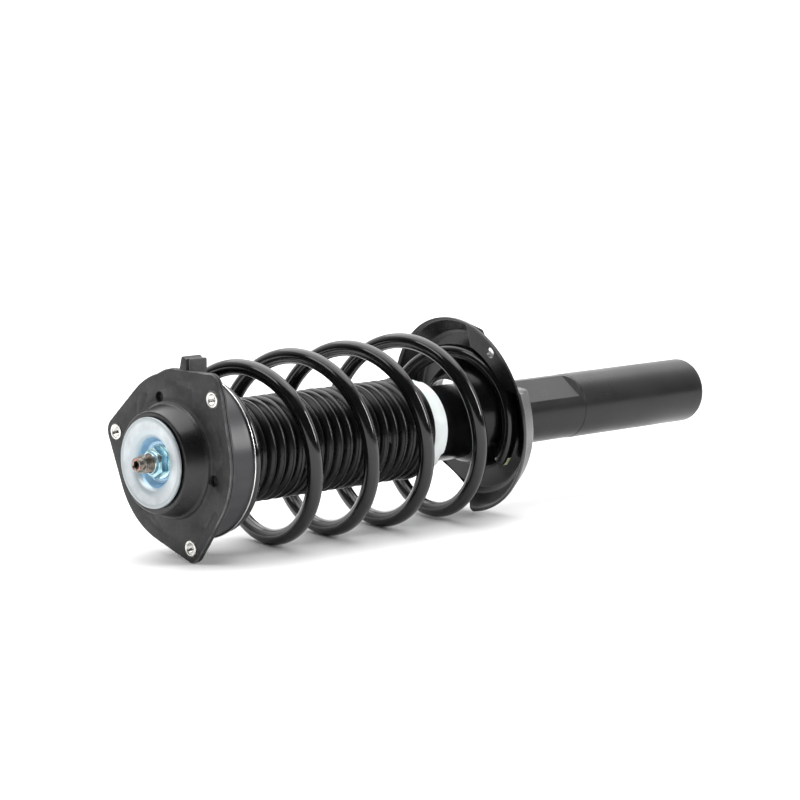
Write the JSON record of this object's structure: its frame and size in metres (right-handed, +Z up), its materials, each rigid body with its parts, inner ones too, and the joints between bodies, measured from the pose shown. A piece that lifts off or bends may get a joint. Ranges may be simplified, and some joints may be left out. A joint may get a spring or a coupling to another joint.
{
  "type": "strut assembly",
  "caption": "Front suspension strut with a three-bolt rubber top mount, coil spring, ribbed bellows, tilted lower spring seat and closed damper tube.",
  "frame": {"origin": "on the surface the strut lies on, under the middle of its length and on its upright middle plane", "axes": "+X along the damper axis from the top mount to the closed end of the tube, +Z up, +Y to the far side"},
  "size_m": [0.6268, 0.1636, 0.1634],
  "materials": {
    "zinc": "zinc plated, satin",
    "nut_zinc": "blue passivated zinc",
    "insert_steel": "bright turned steel",
    "plain_steel": "plain pressed steel",
    "mount_rubber": "matte moulded rubber",
    "bearing_steel": "ground steel",
    "cage_nylon": "natural nylon",
    "ball_steel": "polished steel",
    "seat_coat_upper": "dark grey coated steel, bright worn edge",
    "isolator_rubber": "matte rubber",
    "spring_coat": "gloss black coat",
    "bellows_rubber": "semi-gloss black rubber",
    "bump_foam": "cream polyurethane foam",
    "rod_steel": "hard chromed rod, dark phosphated thread",
    "guide_plastic": "plastic",
    "sintered_iron": "sintered iron",
    "bush_bronze": "bronze filled liner",
    "shim_steel": "spring steel",
    "cap_white": "white plastic",
    "seal_rubber": "nitrile rubber",
    "tube_steel": "cold drawn steel",
    "tube_paint": "satin black paint",
    "seat_paint": "gloss black paint"
  },
  "bodies": {
    "lower_unit": {"outer_tube": "tube_paint", "lower_spring_seat": "seat_paint", "seat_weld": "tube_paint", "tube_cap": "cap_white", "rod_seal": "seal_rubber", "rod_guide": "sintered_iron", "guide_bush": "bush_bronze", "pressure_tube": "tube_steel", "base_valve": "sintered_iron", "base_shims": "shim_steel"},
    "upper_seat": {"upper_spring_seat": "seat_coat_upper", "bearing_lower_race": "bearing_steel", "spring_isolator": "isolator_rubber", "coil_spring": "spring_coat", "bellows": "bellows_rubber"},
    "bearing_cage_set": {"bearing_cage": "cage_nylon", "bearing_balls": "ball_steel"},
    "mount": {"dish_washer": "zinc", "rod_nut": "nut_zinc", "threaded_inserts": "insert_steel", "mount_core": "plain_steel", "mount_rubber": "mount_rubber", "inner_sleeve": "plain_steel", "bearing_upper_race": "bearing_steel", "bump_stop_cup": "plain_steel", "bump_stop": "bump_foam", "piston_rod": "rod_steel", "rebound_stop": "guide_plastic", "piston": "sintered_iron", "piston_band": "bush_bronze", "upper_shims": "shim_steel", "lower_shims": "shim_steel", "piston_nut": "plain_steel"}
  },
  "joints": [
    {"name": "stroke", "type": "slide", "parent": "lower_unit", "child": "upper_seat", "axis": [1, 0, 0], "range_m": [0, 0.14], "stiffness_N_per_m": 22000, "deforming": ["coil_spring", "bellows"]},
    {"name": "steer", "type": "hinge", "parent": "upper_seat", "child": "mount", "pos_m": [-0.266, 0, 0.077], "axis": [1, 0, 0], "range_deg": [-40, 40]},
    {"name": "cage_spin", "type": "hinge", "parent": "upper_seat", "child": "bearing_cage_set", "pos_m": [-0.266, 0, 0.077], "axis": [1, 0, 0], "range_deg": [-20, 20]}
  ],
  "couplings": [
    {"joint": "cage_spin", "follows": "steer", "ratio": 0.5}
  ]
}
